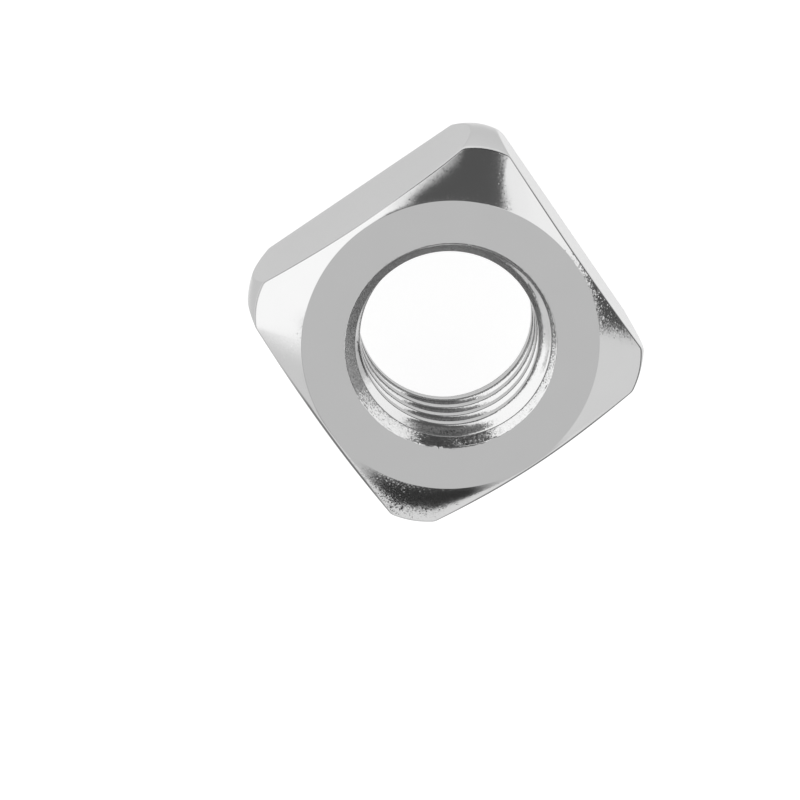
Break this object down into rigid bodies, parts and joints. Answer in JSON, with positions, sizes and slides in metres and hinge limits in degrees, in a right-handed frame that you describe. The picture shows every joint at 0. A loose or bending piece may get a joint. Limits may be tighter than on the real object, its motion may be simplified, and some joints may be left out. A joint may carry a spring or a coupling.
{
  "type": "square nut",
  "caption": "Square nut with an M12 coarse thread, chamfered on one face, forged in stainless steel.",
  "frame": {"origin": "centre of the flat bearing face, on the thread's axis", "axes": "+Z along the thread's axis, from the bearing face to the chamfered face; +X and +Y look out of two neighbouring spanner flats"},
  "size_m": [0.018, 0.018, 0.0098],
  "materials": {
    "stainless_steel": "Cold-forged and tumbled stainless steel: bright flats, grained chamfer, granular in the mouths of the bore."
  },
  "bodies": {
    "root": {"square_nut": "stainless_steel"}
  },
  "joints": []
}
